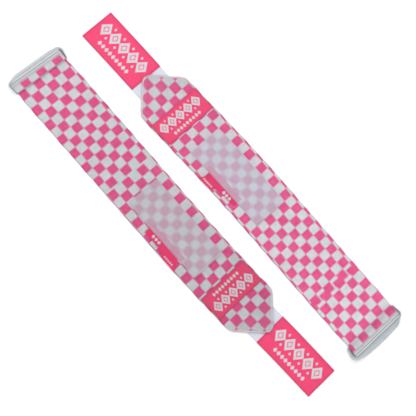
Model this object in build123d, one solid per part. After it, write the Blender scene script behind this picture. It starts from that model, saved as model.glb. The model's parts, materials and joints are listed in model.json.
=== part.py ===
"""A pair of wrist wraps, left and right: each an elastic band with a thumb loop at one end and a hook tab
at the other.

Both lie flat, skin side down on z = 0, beside each other and head to tail. The origin is the middle of the
pair on that surface. Each wrap is drawn once in its own frame: x runs from the hem at the thumb end to the
tab, y runs across the band and z is up. The right wrap is that drawing moved into place, and the left wrap
is its mirror image in x.
"""

from build123d import *
import math
import os

# Driving dimensions, in millimetres unless the name says degrees.
BAND_WIDTH = 80.0
BAND_THICKNESS = 2.4
BAND_LENGTH = 468.5  # from the hem's fold to the tip of the taper
FLEX_LINES = (62.0, 123.0, 184.0, 245.0, 335.0, 363.0)  # where the band is free to bend
FLEX_DEGREES = 38.0  # the most that the band bends at one line
FLEX_PLAY = 0.3  # between two neighbouring stretches, bent as far as they go

HEM_DEPTH = 15.0  # the end of the band folded under itself
HEM_RAMP = 15.0  # over which the band comes down from the fold to the surface
OVERLOCK_START = 2.5
OVERLOCK_WIDTH = 7.0
OVERLOCK_HEIGHT = 0.5

LOOP_TAPE = 0.9  # thickness of the thumb loop's elastic tape
LOOP_HEIGHT = 9.0  # width of that tape, which stands on its edge
LOOP_REACH = 8.5  # how far the middle of the loop stands off the hem
LOOP_SHOULDER = 5.2  # how far its two corners stand off
LOOP_END = (1.5, 17.0)  # each sewn end runs along the hem from and to here
LOOP_END_HEIGHT = 4.4
LOOP_PLAY = 0.3  # between a sewn end and the free loop beside it

PATCH_X = (219.0, 350.5)
PATCH_WIDTH = 50.0
PATCH_THICKNESS = 1.8
PATCH_SETBACK = 1.5  # each piece of the patch stops this far from a flex line

FLAG_X = (259.0, 320.0)
FLAG_THICKNESS = 0.4
FLAG_TUCK = 8.5  # sewn in under the patch
FLAG_DROP = (8.6, 14.6)  # how far it hangs past the patch at the thumb side and at the tab side
FLAG_GAP = 1.0  # from the patch's edge to the line that the flag turns on

BAND_LABEL_X = (376.0, 412.5)
BAND_LABEL_WIDTH = 77.0
LABEL_THICKNESS = 0.5

SHOULDER_X = 430.5  # where the taper begins
SHOULDER_RADIUS = 7.0
TIP_WIDTH = 8.0
TIP_RADIUS = 3.0
TAPER_RISE = (424.0, 438.0)  # where the band climbs on to the hook tape

TAPE_WIDTH = 49.0
TAPE_START = 440.0
TAPE_THICKNESS = 0.8
HOOK_HEIGHT = 0.8  # the hooks under the tape
HOOK_MARGIN = 2.0
TAB_END = 564.6
TAB_CORNER = 1.5
TAB_LINE = BAND_LENGTH + 2.5  # the line that the tab peels on
TAB_LABEL_GAP = 1.0

STITCH_WIDTH = 1.0
STITCH_HEIGHT = 0.25
STITCH_INSET = 2.5  # from a label's or patch's edge to its line of stitches
STITCH_SINK = 0.9  # how deep the stitches pull into the pile of the patch

HEM_OFFSET_X = 287.0  # from the pair's middle to each hem
WRAP_OFFSET_Y = 52.0  # from the pair's middle to the middle of each band

# Derived sizes.
HALF = BAND_WIDTH / 2
MID = BAND_THICKNESS / 2
HEM_TOP = 2 * BAND_THICKNESS
FLEX_BACK = (BAND_THICKNESS + FLEX_PLAY) / 2 / math.cos(math.radians(FLEX_DEGREES / 2))
TAPE_TOP = HOOK_HEIGHT + TAPE_THICKNESS
TAPER_TOP = TAPE_TOP + BAND_THICKNESS
TAPE_MID = HOOK_HEIGHT + TAPE_THICKNESS / 2
TAB_BACK = (TAPE_THICKNESS + FLEX_PLAY) / 2 * math.sqrt(2)
PATCH_TOP = BAND_THICKNESS + PATCH_THICKNESS


def block(x, y, z):
    """A block between two values on each axis."""
    middle = [(a + b) / 2 for a, b in (x, y, z)]
    return Pos(*middle) * Box(x[1] - x[0], y[1] - y[0], z[1] - z[0])


def across(profile, width):
    """A profile drawn in x and z, drawn out to both sides of the middle line."""
    return extrude(Plane.XZ * profile, amount=width / 2, both=True)


def frame(x, y, z, inset):
    """A rectangular ring as wide as a line of stitches, inset from the edges x and y."""
    outer = block((x[0] + inset, x[1] - inset), (y[0] + inset, y[1] - inset), z)
    inset += STITCH_WIDTH
    inner = block((x[0] + inset, x[1] - inset), (y[0] + inset, y[1] - inset), z)
    return outer - inner


def flat_profile(start, end):
    """The profile of a flat stretch of band, with half-round ends about its mid-thickness."""
    body = Polygon((start, 0), (end, 0), (end, BAND_THICKNESS), (start, BAND_THICKNESS), align=None)
    return body + Pos(start, MID) * Circle(MID) + Pos(end, MID) * Circle(MID)


def band_stretch(number):
    """A plain stretch of the band, between two flex lines."""
    start = FLEX_LINES[number - 2] + FLEX_BACK
    end = FLEX_LINES[number - 1] - FLEX_BACK
    return across(flat_profile(start, end), BAND_WIDTH)


def hem_stretch():
    """The thumb end: the band folded under itself, then sloping down to lie flat."""
    down = HEM_DEPTH + HEM_RAMP
    end = FLEX_LINES[0] - FLEX_BACK
    outline = (
        (BAND_THICKNESS, 0),
        (HEM_DEPTH, 0),
        (HEM_DEPTH, BAND_THICKNESS),
        (down, 0),
        (end, 0),
        (end, BAND_THICKNESS),
        (down, BAND_THICKNESS),
        (HEM_DEPTH, HEM_TOP),
        (BAND_THICKNESS, HEM_TOP),
    )
    fold = Pos(BAND_THICKNESS, BAND_THICKNESS) * Circle(BAND_THICKNESS)
    profile = Polygon(*outline, align=None) + fold + Pos(end, MID) * Circle(MID)
    return across(profile, BAND_WIDTH)


def taper_outline():
    """The tab end seen from above: square shoulders cut away to a narrow blunt tip."""
    start = FLEX_LINES[-1]
    tip = TIP_WIDTH / 2
    corners = (
        (start, -HALF),
        (SHOULDER_X, -HALF),
        (BAND_LENGTH, -tip),
        (BAND_LENGTH, tip),
        (SHOULDER_X, HALF),
        (start, HALF),
    )
    outline = Polygon(*corners, align=None)
    shoulders = outline.vertices().filter_by(lambda v: abs(v.X - SHOULDER_X) < MID)
    outline = fillet(shoulders, SHOULDER_RADIUS)
    tips = outline.vertices().filter_by(lambda v: abs(v.X - BAND_LENGTH) < MID)
    return fillet(tips, TIP_RADIUS)


def taper_stretch():
    """The tab end of the band, which climbs on to the hook tape that is sewn under it."""
    start = FLEX_LINES[-1] + FLEX_BACK
    low, high = TAPER_RISE
    outline = (
        (start, 0),
        (low, 0),
        (high, TAPE_TOP),
        (BAND_LENGTH, TAPE_TOP),
        (BAND_LENGTH, TAPER_TOP),
        (high, TAPER_TOP),
        (low, BAND_THICKNESS),
        (start, BAND_THICKNESS),
    )
    profile = Polygon(*outline, align=None) + Pos(start, MID) * Circle(MID)
    return across(profile, BAND_WIDTH) & extrude(taper_outline(), amount=TAPER_TOP)


def taper_strip(outer, inner):
    """A strip on the taper's top, between two distances in from its sloping edges."""
    outline = taper_outline()
    outside = offset(outline, -outer) if outer else outline
    strip = extrude(outside - offset(outline, -inner), amount=STITCH_HEIGHT)
    flat_top = block((TAPER_RISE[1] + 1, BAND_LENGTH + 1), (-HALF, HALF), (0, STITCH_HEIGHT))
    return Pos(0, 0, TAPER_TOP) * (strip & flat_top)


def hem_overlock():
    """The white overlock stitching that closes the hem."""
    x = (OVERLOCK_START, OVERLOCK_START + OVERLOCK_WIDTH)
    return block(x, (-HALF, HALF), (HEM_TOP, HEM_TOP + OVERLOCK_HEIGHT))


def thumb_loop_ends():
    """The two ends of the thumb loop's tape, sewn to the edges of the hem."""
    z = ((HEM_TOP - LOOP_END_HEIGHT) / 2, (HEM_TOP + LOOP_END_HEIGHT) / 2)
    one = block(LOOP_END, (HALF, HALF + LOOP_TAPE), z)
    return Compound([one, mirror(one, about=Plane.XZ)])


def thumb_loop():
    """The free part of the thumb loop: tape on its edge, bowed out past the hem."""
    side = HALF + LOOP_TAPE + LOOP_PLAY + LOOP_TAPE / 2
    middle = LOOP_REACH - LOOP_TAPE / 2
    half_route = [(BAND_THICKNESS, side), (-LOOP_SHOULDER, side), (-middle, HALF / 3)]
    route = half_route + [(x, -y) for x, y in reversed(half_route)]
    path = FilletPolyline(*route, radius=(4.0, 60.0, 60.0, 4.0))
    return extrude(trace(path, LOOP_TAPE), amount=LOOP_HEIGHT)


def patch_blocks():
    """The pile patch as plain blocks, one on each stretch of band that it covers."""
    y = (-PATCH_WIDTH / 2, PATCH_WIDTH / 2)
    lines = [x for x in FLEX_LINES if PATCH_X[0] < x < PATCH_X[1]]
    starts = [PATCH_X[0]] + [x + PATCH_SETBACK for x in lines]
    ends = [x - PATCH_SETBACK for x in lines] + [PATCH_X[1]]
    return [block(x, y, (BAND_THICKNESS, PATCH_TOP)) for x in zip(starts, ends)]


def patch_ring(height):
    """The course of the stitches round the patch, drawn up from where they lie in the pile."""
    z = PATCH_TOP - STITCH_SINK
    return frame(PATCH_X, (-PATCH_WIDTH / 2, PATCH_WIDTH / 2), (z, z + height), STITCH_INSET)


def patch_pieces():
    """The pile patch that the hooks hold on to, with the furrow that its stitches pull into it."""
    first, middle, last = [piece - patch_ring(STITCH_SINK) for piece in patch_blocks()]
    return [first, middle - flag_root(), last]


def patch_stitch_pieces():
    """The line of stitches round the pile patch, split as the patch is."""
    return [patch_ring(STITCH_HEIGHT) & piece for piece in patch_blocks()]


def flag_root():
    """The strip of the flag label that is sewn in under the edge of the patch."""
    edge = -PATCH_WIDTH / 2
    return block(FLAG_X, (edge, edge + FLAG_TUCK), (BAND_THICKNESS, BAND_THICKNESS + FLAG_THICKNESS))


def flag_label():
    """The free flap of the flag label, cut at a slant."""
    top = -PATCH_WIDTH / 2 - FLAG_GAP
    low, high = (-PATCH_WIDTH / 2 - drop for drop in FLAG_DROP)
    outline = Polygon((FLAG_X[0], top), (FLAG_X[0], low), (FLAG_X[1], high), (FLAG_X[1], top), align=None)
    return Pos(0, 0, BAND_THICKNESS) * extrude(outline, amount=FLAG_THICKNESS)


def band_label():
    """The woven label sewn across the band."""
    y = (-BAND_LABEL_WIDTH / 2, BAND_LABEL_WIDTH / 2)
    return block(BAND_LABEL_X, y, (BAND_THICKNESS, BAND_THICKNESS + LABEL_THICKNESS))


def band_label_stitch():
    """The line of stitches round the band label."""
    y = (-BAND_LABEL_WIDTH / 2, BAND_LABEL_WIDTH / 2)
    z = BAND_THICKNESS + LABEL_THICKNESS
    return frame(BAND_LABEL_X, y, (z, z + STITCH_HEIGHT), STITCH_INSET)


def tab_plate(start, z):
    """A plate as wide as the tab, from start to the tab's rounded end."""
    y = (-TAPE_WIDTH / 2, TAPE_WIDTH / 2)
    plate = block((start, TAB_END), y, z)
    return fillet(plate.edges().filter_by(Axis.Z).group_by(Axis.X)[-1], TAB_CORNER)


def tape_root():
    """The end of the hook tape that is sewn under the taper."""
    end = TAB_LINE - TAB_BACK
    body = block((TAPE_START, end), (-TAPE_WIDTH / 2, TAPE_WIDTH / 2), (HOOK_HEIGHT, TAPE_TOP))
    return body + across(Pos(end, TAPE_MID) * Circle(TAPE_THICKNESS / 2), TAPE_WIDTH)


def hook_tape():
    """The free part of the hook tape, which peels up at the tip of the taper."""
    start = TAB_LINE + TAB_BACK
    body = tab_plate(start, (HOOK_HEIGHT, TAPE_TOP))
    return body + across(Pos(start, TAPE_MID) * Circle(TAPE_THICKNESS / 2), TAPE_WIDTH)


def hook_field():
    """The hooks under the tape, as one thin slab."""
    half = TAPE_WIDTH / 2 - HOOK_MARGIN
    x = (TAB_LINE + HOOK_MARGIN, TAB_END - HOOK_MARGIN)
    return block(x, (-half, half), (0, HOOK_HEIGHT))


def tab_label():
    """The woven label on top of the tab."""
    return tab_plate(TAB_LINE + TAB_LABEL_GAP, (TAPE_TOP, TAPE_TOP + LABEL_THICKNESS))


def tab_label_stitch():
    """The line of stitches round the tab label."""
    x = (TAB_LINE + TAB_LABEL_GAP, TAB_END)
    y = (-TAPE_WIDTH / 2, TAPE_WIDTH / 2)
    z = TAPE_TOP + LABEL_THICKNESS
    return frame(x, y, (z, z + STITCH_HEIGHT), STITCH_INSET)


def wrap_pieces():
    """Every piece of one wrap, by name, in the wrap's own frame."""
    pieces = {"band_1": hem_stretch()}
    for number in range(2, len(FLEX_LINES) + 1):
        pieces[f"band_{number}"] = band_stretch(number)
    pieces[f"band_{len(FLEX_LINES) + 1}"] = taper_stretch()
    for number, piece in enumerate(patch_pieces(), start=1):
        pieces[f"pile_patch_{number}"] = piece
    for number, piece in enumerate(patch_stitch_pieces(), start=1):
        pieces[f"patch_stitch_{number}"] = piece
    pieces["hem_overlock"] = hem_overlock()
    pieces["thumb_loop_ends"] = thumb_loop_ends()
    pieces["thumb_loop"] = thumb_loop()
    pieces["flag_label_root"] = flag_root()
    pieces["flag_label"] = flag_label()
    pieces["band_label"] = band_label()
    pieces["band_label_stitch"] = band_label_stitch()
    pieces["taper_overlock"] = taper_strip(0, 2 * STITCH_WIDTH)
    pieces["taper_stitch"] = taper_strip(4 * STITCH_WIDTH, 5 * STITCH_WIDTH)
    pieces["hook_tape_root"] = tape_root()
    pieces["hook_tape"] = hook_tape()
    pieces["hook_field"] = hook_field()
    pieces["tab_label"] = tab_label()
    pieces["tab_label_stitch"] = tab_label_stitch()
    return pieces


def main():
    os.makedirs("parts", exist_ok=True)
    for name, piece in wrap_pieces().items():
        right = Pos(-HEM_OFFSET_X, -WRAP_OFFSET_Y, 0) * piece
        left = Pos(HEM_OFFSET_X, WRAP_OFFSET_Y, 0) * mirror(piece, about=Plane.YZ)
        export_step(right, f"parts/right_{name}.step")
        export_step(left, f"parts/left_{name}.step")


main()
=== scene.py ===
"""The looks of a pair of checked elastic wrist wraps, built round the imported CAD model.

Each wrap is modelled flat in its own frame, in millimetres: x runs from the hem at the thumb end to the
tab, y runs across the band and z is up. place() bends that flat drawing a little, as the real fabric lies,
and moves it into the row frame, in metres. The left wrap is the mirror image of the right one in x.
"""

import json
import math

import bmesh
import bpy
import numpy as np
from mathutils import Vector
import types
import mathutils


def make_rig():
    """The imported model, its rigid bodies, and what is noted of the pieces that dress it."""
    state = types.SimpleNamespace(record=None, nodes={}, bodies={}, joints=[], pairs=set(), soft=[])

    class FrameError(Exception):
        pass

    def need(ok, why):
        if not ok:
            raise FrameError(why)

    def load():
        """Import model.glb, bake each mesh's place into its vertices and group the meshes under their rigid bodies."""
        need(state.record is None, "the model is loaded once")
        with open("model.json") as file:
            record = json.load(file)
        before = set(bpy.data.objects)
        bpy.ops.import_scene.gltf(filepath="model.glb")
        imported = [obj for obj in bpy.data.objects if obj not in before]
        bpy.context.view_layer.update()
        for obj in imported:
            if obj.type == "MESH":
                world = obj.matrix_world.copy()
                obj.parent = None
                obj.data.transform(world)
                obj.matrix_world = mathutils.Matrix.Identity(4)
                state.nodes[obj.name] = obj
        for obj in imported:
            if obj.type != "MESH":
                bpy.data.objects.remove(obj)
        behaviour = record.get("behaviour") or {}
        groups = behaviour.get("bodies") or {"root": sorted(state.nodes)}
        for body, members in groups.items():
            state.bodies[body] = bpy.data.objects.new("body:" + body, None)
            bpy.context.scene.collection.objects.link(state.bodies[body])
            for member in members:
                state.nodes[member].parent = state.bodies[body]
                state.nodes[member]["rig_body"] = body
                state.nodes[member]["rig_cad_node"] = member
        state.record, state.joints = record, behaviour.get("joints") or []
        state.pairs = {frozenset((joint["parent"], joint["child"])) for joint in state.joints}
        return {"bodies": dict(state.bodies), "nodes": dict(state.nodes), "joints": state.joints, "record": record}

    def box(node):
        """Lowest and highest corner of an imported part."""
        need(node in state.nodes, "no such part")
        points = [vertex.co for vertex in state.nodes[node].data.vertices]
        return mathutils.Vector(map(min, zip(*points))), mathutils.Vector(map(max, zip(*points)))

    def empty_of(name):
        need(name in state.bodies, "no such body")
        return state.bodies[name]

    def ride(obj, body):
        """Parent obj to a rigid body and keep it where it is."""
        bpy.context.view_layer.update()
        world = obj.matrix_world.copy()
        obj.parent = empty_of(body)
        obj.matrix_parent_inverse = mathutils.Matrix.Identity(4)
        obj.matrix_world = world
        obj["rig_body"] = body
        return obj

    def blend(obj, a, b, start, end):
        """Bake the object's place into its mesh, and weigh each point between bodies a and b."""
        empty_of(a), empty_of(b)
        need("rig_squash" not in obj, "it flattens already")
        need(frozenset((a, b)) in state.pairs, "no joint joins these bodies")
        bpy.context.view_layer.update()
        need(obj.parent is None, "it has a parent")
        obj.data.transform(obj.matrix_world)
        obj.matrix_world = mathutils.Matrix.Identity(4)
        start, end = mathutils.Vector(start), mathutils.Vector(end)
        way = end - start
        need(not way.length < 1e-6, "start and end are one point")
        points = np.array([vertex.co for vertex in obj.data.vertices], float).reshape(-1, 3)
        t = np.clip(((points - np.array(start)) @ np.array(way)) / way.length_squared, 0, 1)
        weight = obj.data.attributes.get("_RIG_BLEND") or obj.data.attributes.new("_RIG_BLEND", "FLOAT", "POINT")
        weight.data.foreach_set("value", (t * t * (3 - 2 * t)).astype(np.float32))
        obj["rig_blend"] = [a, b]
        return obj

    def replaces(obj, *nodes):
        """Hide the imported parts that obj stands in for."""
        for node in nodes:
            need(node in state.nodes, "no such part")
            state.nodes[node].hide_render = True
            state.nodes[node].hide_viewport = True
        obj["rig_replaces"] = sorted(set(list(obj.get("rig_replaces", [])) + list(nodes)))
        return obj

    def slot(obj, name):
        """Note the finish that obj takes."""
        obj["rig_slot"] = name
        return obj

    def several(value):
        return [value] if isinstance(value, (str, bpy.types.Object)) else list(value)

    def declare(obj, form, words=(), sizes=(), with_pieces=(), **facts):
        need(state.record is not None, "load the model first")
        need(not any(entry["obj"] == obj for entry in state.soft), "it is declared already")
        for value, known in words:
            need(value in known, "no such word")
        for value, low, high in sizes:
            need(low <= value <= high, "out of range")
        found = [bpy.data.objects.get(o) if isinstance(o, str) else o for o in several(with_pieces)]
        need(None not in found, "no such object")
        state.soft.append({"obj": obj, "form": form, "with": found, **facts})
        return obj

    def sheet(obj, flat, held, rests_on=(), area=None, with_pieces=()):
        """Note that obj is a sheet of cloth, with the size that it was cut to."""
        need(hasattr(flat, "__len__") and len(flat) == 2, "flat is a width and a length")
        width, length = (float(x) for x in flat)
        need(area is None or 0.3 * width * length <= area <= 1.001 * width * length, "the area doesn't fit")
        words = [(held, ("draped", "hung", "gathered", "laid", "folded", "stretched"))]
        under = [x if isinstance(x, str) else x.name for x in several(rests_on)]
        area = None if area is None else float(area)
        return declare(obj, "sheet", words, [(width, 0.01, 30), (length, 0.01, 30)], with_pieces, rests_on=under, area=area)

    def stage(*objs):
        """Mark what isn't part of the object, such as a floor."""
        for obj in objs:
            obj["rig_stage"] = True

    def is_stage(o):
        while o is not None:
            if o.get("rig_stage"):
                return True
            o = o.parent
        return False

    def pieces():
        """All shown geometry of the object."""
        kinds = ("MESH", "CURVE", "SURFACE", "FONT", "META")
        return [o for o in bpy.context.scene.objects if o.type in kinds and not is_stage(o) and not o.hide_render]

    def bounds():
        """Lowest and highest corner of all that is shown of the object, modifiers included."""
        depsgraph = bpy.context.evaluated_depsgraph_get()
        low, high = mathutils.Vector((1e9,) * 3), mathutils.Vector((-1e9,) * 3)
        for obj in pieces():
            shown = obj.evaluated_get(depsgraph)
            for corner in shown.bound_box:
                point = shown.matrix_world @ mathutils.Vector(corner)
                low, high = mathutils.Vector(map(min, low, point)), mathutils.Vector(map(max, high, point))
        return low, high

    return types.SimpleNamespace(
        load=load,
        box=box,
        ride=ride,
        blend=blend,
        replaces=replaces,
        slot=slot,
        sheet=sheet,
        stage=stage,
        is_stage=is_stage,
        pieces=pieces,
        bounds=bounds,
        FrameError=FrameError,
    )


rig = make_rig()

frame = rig.load()
CAD_BOX = [list(corner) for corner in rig.bounds()]
MM = 0.001
RNG = np.random.default_rng(7)

# ---------------------------------------------------------------- sizes, read off the CAD model

HEM_X = -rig.box("right_band_1")[0].x / MM


def along(node):
    """The range of x, in the wrap's own frame, that a node of the right wrap covers."""
    low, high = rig.box("right_" + node)
    return low.x / MM + HEM_X, high.x / MM + HEM_X


def half_across(node):
    """Half the width of a node of the right wrap."""
    low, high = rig.box("right_" + node)
    return (high.y - low.y) / 2 / MM


def top_of(node):
    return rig.box("right_" + node)[1].z / MM


def joint_at(name):
    """Where a joint of the right wrap lies, in the wrap's own frame."""
    joint = next(j for j in frame["joints"] if j["name"] == "right_" + name)
    x, y, z = (v / MM for v in joint["pos_m"])
    return x + HEM_X, y - BAND_Y["right"], z


BAND_Y = {
    side: sum(corner.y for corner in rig.box(side + "_band_2")) / 2 / MM for side in ("right", "left")
}
SIGN = {"right": 1, "left": -1}
HALF = half_across("band_2")
BAND_T = top_of("band_2")
TIP_X = along("band_7")[1]
FLEX = [joint_at(f"band_flex_{n}")[0] for n in range(1, 7)]
FLEX_BODIES = ["hem_section", "section_2", "section_3", "section_4", "patch_section", "section_6",
               "taper_section"]
FLEX_REACH = [25.0, 25.0, 25.0, 14.0, 14.0, 12.0]  # how far each bend spreads to both sides
CUTS = [(a + b) / 2 for a, b in zip(FLEX, FLEX[1:])]
TAB_LINE, TAB_REACH = joint_at("tab_peel")[0], 7.0
TAB_END = along("tab_label")[1]
TAPE_TOP = top_of("hook_tape")
TAPE_T = TAPE_TOP - top_of("hook_field")
LABEL_T = top_of("tab_label") - TAPE_TOP
PATCH = (along("pile_patch_1")[0], along("pile_patch_3")[1])
PATCH_HALF = half_across("pile_patch_2")
PATCH_TOP = top_of("pile_patch_2")
BAND_LABEL = along("band_label")
BAND_LABEL_HALF = half_across("band_label")
TAPE_HALF = half_across("hook_tape")
FLAG = along("flag_label")

BAND_STEP = 1.0
BAND_ROUND = 1.3
CHECK = 12.2  # about the length of one check
HEM_DEPTH = 15.0
HEM_RAMP = 3.5
TAPER_RISE = (424.0, 438.0)
TIP_RISE = (458.0, 467.0)
TIP_LIFT = LABEL_T + 0.1  # the tip lies on the edge of the tab's label
TIP_HALF, TIP_ROUND, TIP_BLUNT = 5.2, 3.0, 0.9  # half the tip's width, its corners and how blunt they are
KNIT_T = BAND_T - 0.1  # the relief makes up the rest
SHOULDER_X, SHOULDER_SOFT = 431.5, 1.1
FOLDED_UNDER = 3.0  # up to here on the flat cloth, the band is folded under and smooth
RELIEF_CHECKS, RELIEF_RIBS, RELIEF_SLACK = 0.06, 0.03, 0.10  # how high the checks, ribs and slack waves are
RIB_WAVE, SLACK_WAVE = 3.1, (17, 13)
EDGE_CHECKS, EDGE_SLOW, EDGE_WAVE = 0.22, 0.16, 7.3  # how far the checks and a slow wave move the edges
HEM_WIDER, HEM_WIDER_TO = 1.0, (12, 19)  # the hem stands out by this, less and less between these two
HEM_WAIST, HEM_WAIST_X, HEM_WAIST_REACH = 0.9, 21, 6  # behind it the edges are drawn in
PHASE = {"right": (0.0, 0.4), "left": (1.7, 2.2)}  # so that the two wraps' slack and edges differ

# ---------------------------------------------------------------- how the fabric lies

# How each wrap lies, as points (x, distance) of curves: how far it bows sideways, how much further along it
# lies, since the right one is slightly stretched and the left one slightly slack, and how much further along
# its upper edge lies than its middle.
LIE = {
    "right": {"sideways": [(0, 2.4), (96, 1.0), (195, -0.6), (265, -1.8), (395, -1.5), (430, -0.4),
                           (494, 2.4), (565, 4.0)],
              "further": [(0, 0), (217, 1.0), (350, 2.2), (412, 3.1), (470, 3.8), (565, 5.2)],
              "askew": [(0, 4.7), (22, 4.1), (42, 3.3), (120, 2.2), (184, 1.4), (220, 1.3), (300, 0.0),
                        (372, -0.8), (430, -1.1), (480, -2.0), (565, -2.0)]},
    "left": {"sideways": [(0, -1.2), (96, -0.5), (162, 0.7), (262, 2.4), (295, 2.4), (362, 1.0),
                          (428, -0.6), (494, -0.6), (565, -1.4)],
             "further": [(0, 0.2), (60, -0.4), (130, -1.0), (217, -1.6), (350, -2.0), (412, -3.0),
                         (470, -4.8), (565, -5.4)],
             "askew": [(0, 1.3), (75, 1.3), (112, 0.5), (184, 0.0), (300, -0.4), (372, -0.8), (430, -0.6),
                       (480, -2.0), (565, -2.0)]},
}


def smooth(t):
    t = np.clip(t, 0, 1)
    return t * t * (3 - 2 * t)


def curve_through(at, values, where):
    """A smooth curve through values (numbers or points) that stand at the places at, read at where."""
    slope = np.gradient(values, at, axis=0)
    i = np.clip(np.searchsorted(at, where, side="right") - 1, 0, len(at) - 2)
    width = at[i + 1] - at[i]
    t = (where - at[i]) / width
    if values.ndim > 1:
        width, t = width[:, None], t[:, None]
    return (
        (2 * t**3 - 3 * t**2 + 1) * values[i] + (t**3 - 2 * t**2 + t) * width * slope[i]
        + (3 * t**2 - 2 * t**3) * values[i + 1] + (t**3 - t**2) * width * slope[i + 1]
    )


def unit(vectors):
    return vectors / np.linalg.norm(vectors, axis=1)[:, None]


def run_along(points):
    """How far along their line each of the points lies."""
    return np.concatenate([[0], np.cumsum(np.linalg.norm(np.diff(points, axis=0), axis=1))])


def place(side, points):
    """Points of a wrap's own frame, in millimetres, as they lie in the row frame, in metres."""
    x, y, z = np.asarray(points, float).reshape(-1, 3).T
    lie = LIE[side]
    on_cloth = np.clip(x, lie["further"][0][0], lie["further"][-1][0])
    sideways, further, askew = (
        curve_through(*np.asarray(lie[way], float).T, on_cloth) for way in ("sideways", "further", "askew"))
    from_hem = x + further + askew * y / HALF
    placed = np.stack([SIGN[side] * (from_hem - HEM_X), y + sideways + BAND_Y[side], z], axis=1)
    return placed * MM


def spot(side, x, z, y=0.0):
    """Where a point of the wrap's own frame lies in the row frame."""
    return tuple(place(side, [(x, y, z)])[0].tolist())


# ---------------------------------------------------------------- meshes


def make_object(side, name, points, faces, materials, kinds=None, flat=None, sharp=35):
    """A mesh of a wrap. kinds is each face's material, and flat each point's place on the flat cloth."""
    mesh = bpy.data.meshes.new(f"{side}_{name}")
    faces = [tuple(int(i) for i in face) for face in faces]
    if SIGN[side] < 0:
        faces = [face[::-1] for face in faces]
    mesh.from_pydata(place(side, points).tolist(), [], faces)
    for material in materials:
        mesh.materials.append(material)
    if kinds is not None:
        mesh.polygons.foreach_set("material_index", np.asarray(kinds, np.int32))
    flat = np.asarray(points, float)[:, :2] if flat is None else np.asarray(flat, float)
    corners = np.empty(len(mesh.loops), np.int32)
    mesh.loops.foreach_get("vertex_index", corners)
    layer = mesh.uv_layers.new(name="flat")
    layer.data.foreach_set("uv", (flat[corners] * MM).astype(np.float32).ravel())
    mesh.polygons.foreach_set("use_smooth", np.ones(len(faces), bool))
    mesh.update()
    mesh.set_sharp_from_angle(angle=math.radians(sharp))
    made = bpy.data.objects.new(f"{side}_{name}", mesh)
    bpy.context.scene.collection.objects.link(made)
    return made


def grid_faces(rows, columns, start=0, flip=False):
    """The quads of a grid of points, rows by columns."""
    i, j = np.meshgrid(np.arange(rows - 1), np.arange(columns - 1), indexing="ij")
    a = start + (i * columns + j).ravel()
    quads = np.stack([a, a + columns, a + columns + 1, a + 1], axis=1)
    return quads[:, ::-1] if flip else quads


def edge_faces(line, count, flip=False):
    """The quads that join a line of points to the same points of the layer below, count further on."""
    quads = np.stack([line[:-1], line[1:], line[1:] + count, line[:-1] + count], axis=1)
    return quads[:, ::-1] if flip else quads


def shell(upper, lower):
    """A closed shell from two grids of points, one above the other. Returns its points, its faces and each
    face's side: 0 the upper one, 1 the lower one and 2 an edge."""
    rows, columns = upper.shape[:2]
    count = rows * columns
    row, column = np.arange(columns), np.arange(rows) * columns
    edges = np.concatenate([
        edge_faces(row, count),
        edge_faces(row + (rows - 1) * columns, count, flip=True),
        edge_faces(column, count, flip=True),
        edge_faces(column + columns - 1, count),
    ])
    above, below = grid_faces(rows, columns), grid_faces(rows, columns, count, flip=True)
    kinds = np.repeat([0, 1, 2], [len(above), len(below), len(edges)])
    points = np.concatenate([upper.reshape(-1, 3), lower.reshape(-1, 3)])
    return points, np.concatenate([above, below, edges]), kinds


def on_both(x, y):
    """The places on the flat cloth of a shell's points, from those of its upper grid."""
    flat = np.stack(np.broadcast_arrays(x, y), axis=-1).reshape(-1, 2)
    return np.concatenate([flat, flat])


def ribbon(path, flat_x, half_width, steps, thickness, rounding, top=None):
    """A closed ribbon of cloth. path is its middle line (x, z), half_width its half width at each of its
    points, steps places across it from -1 to 1, and top adds relief to its upper face at (x, y) on the flat
    cloth. Returns what shell() does, and each point's place on the flat cloth."""
    path = np.asarray(path, float)
    tangent = unit(np.gradient(path, axis=0))
    normal = np.stack([-tangent[:, 1], tangent[:, 0]], axis=1)
    width = np.broadcast_to(half_width, len(path))[:, None]
    y = width * steps[None, :]
    inward = np.clip((width - np.abs(y)) / rounding, 0, 1)
    swell = np.sqrt(np.clip(1 - (1 - inward) ** 2, 0, 1)) * thickness / 2
    x_flat = np.broadcast_to(np.asarray(flat_x)[:, None], y.shape)
    relief = top(x_flat, y) * inward if top else 0
    layers = [
        np.stack([path[:, :1] + normal[:, :1] * lift, y, path[:, 1:] + normal[:, 1:] * lift], axis=-1)
        for lift in (swell + relief, -swell)
    ]
    return *shell(*layers), on_both(x_flat, y)


def steps_across(half_width, step, rounding):
    """Places across a ribbon, from -1 to 1, closer together where its edge is rounded."""
    edge = np.array([0, 0.08, 0.25, 0.55, 1.0]) * rounding
    inner = np.linspace(rounding, half_width, max(2, round((half_width - rounding) / step)) + 1)[1:]
    inward = np.concatenate([edge, inner])
    upper = 1 - inward / half_width
    return np.concatenate([-upper, upper[-2::-1]])


def weld(made):
    """Joins the points that the two sides of a shell share along its edges."""
    work = bmesh.new()
    work.from_mesh(made.data)
    bmesh.ops.remove_doubles(work, verts=work.verts, dist=1e-7)
    work.to_mesh(made.data)
    work.free()
    made.data.update()
    return made


def turn_out(made):
    """Makes every face of a closed mesh look outwards."""
    work = bmesh.new()
    work.from_mesh(made.data)
    bmesh.ops.recalc_face_normals(work, faces=work.faces)
    work.to_mesh(made.data)
    work.free()


ALMOST_UP = (0.0, 0.13, 1.0)  # no thread runs this way
THREAD_SIDES = 5


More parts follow.
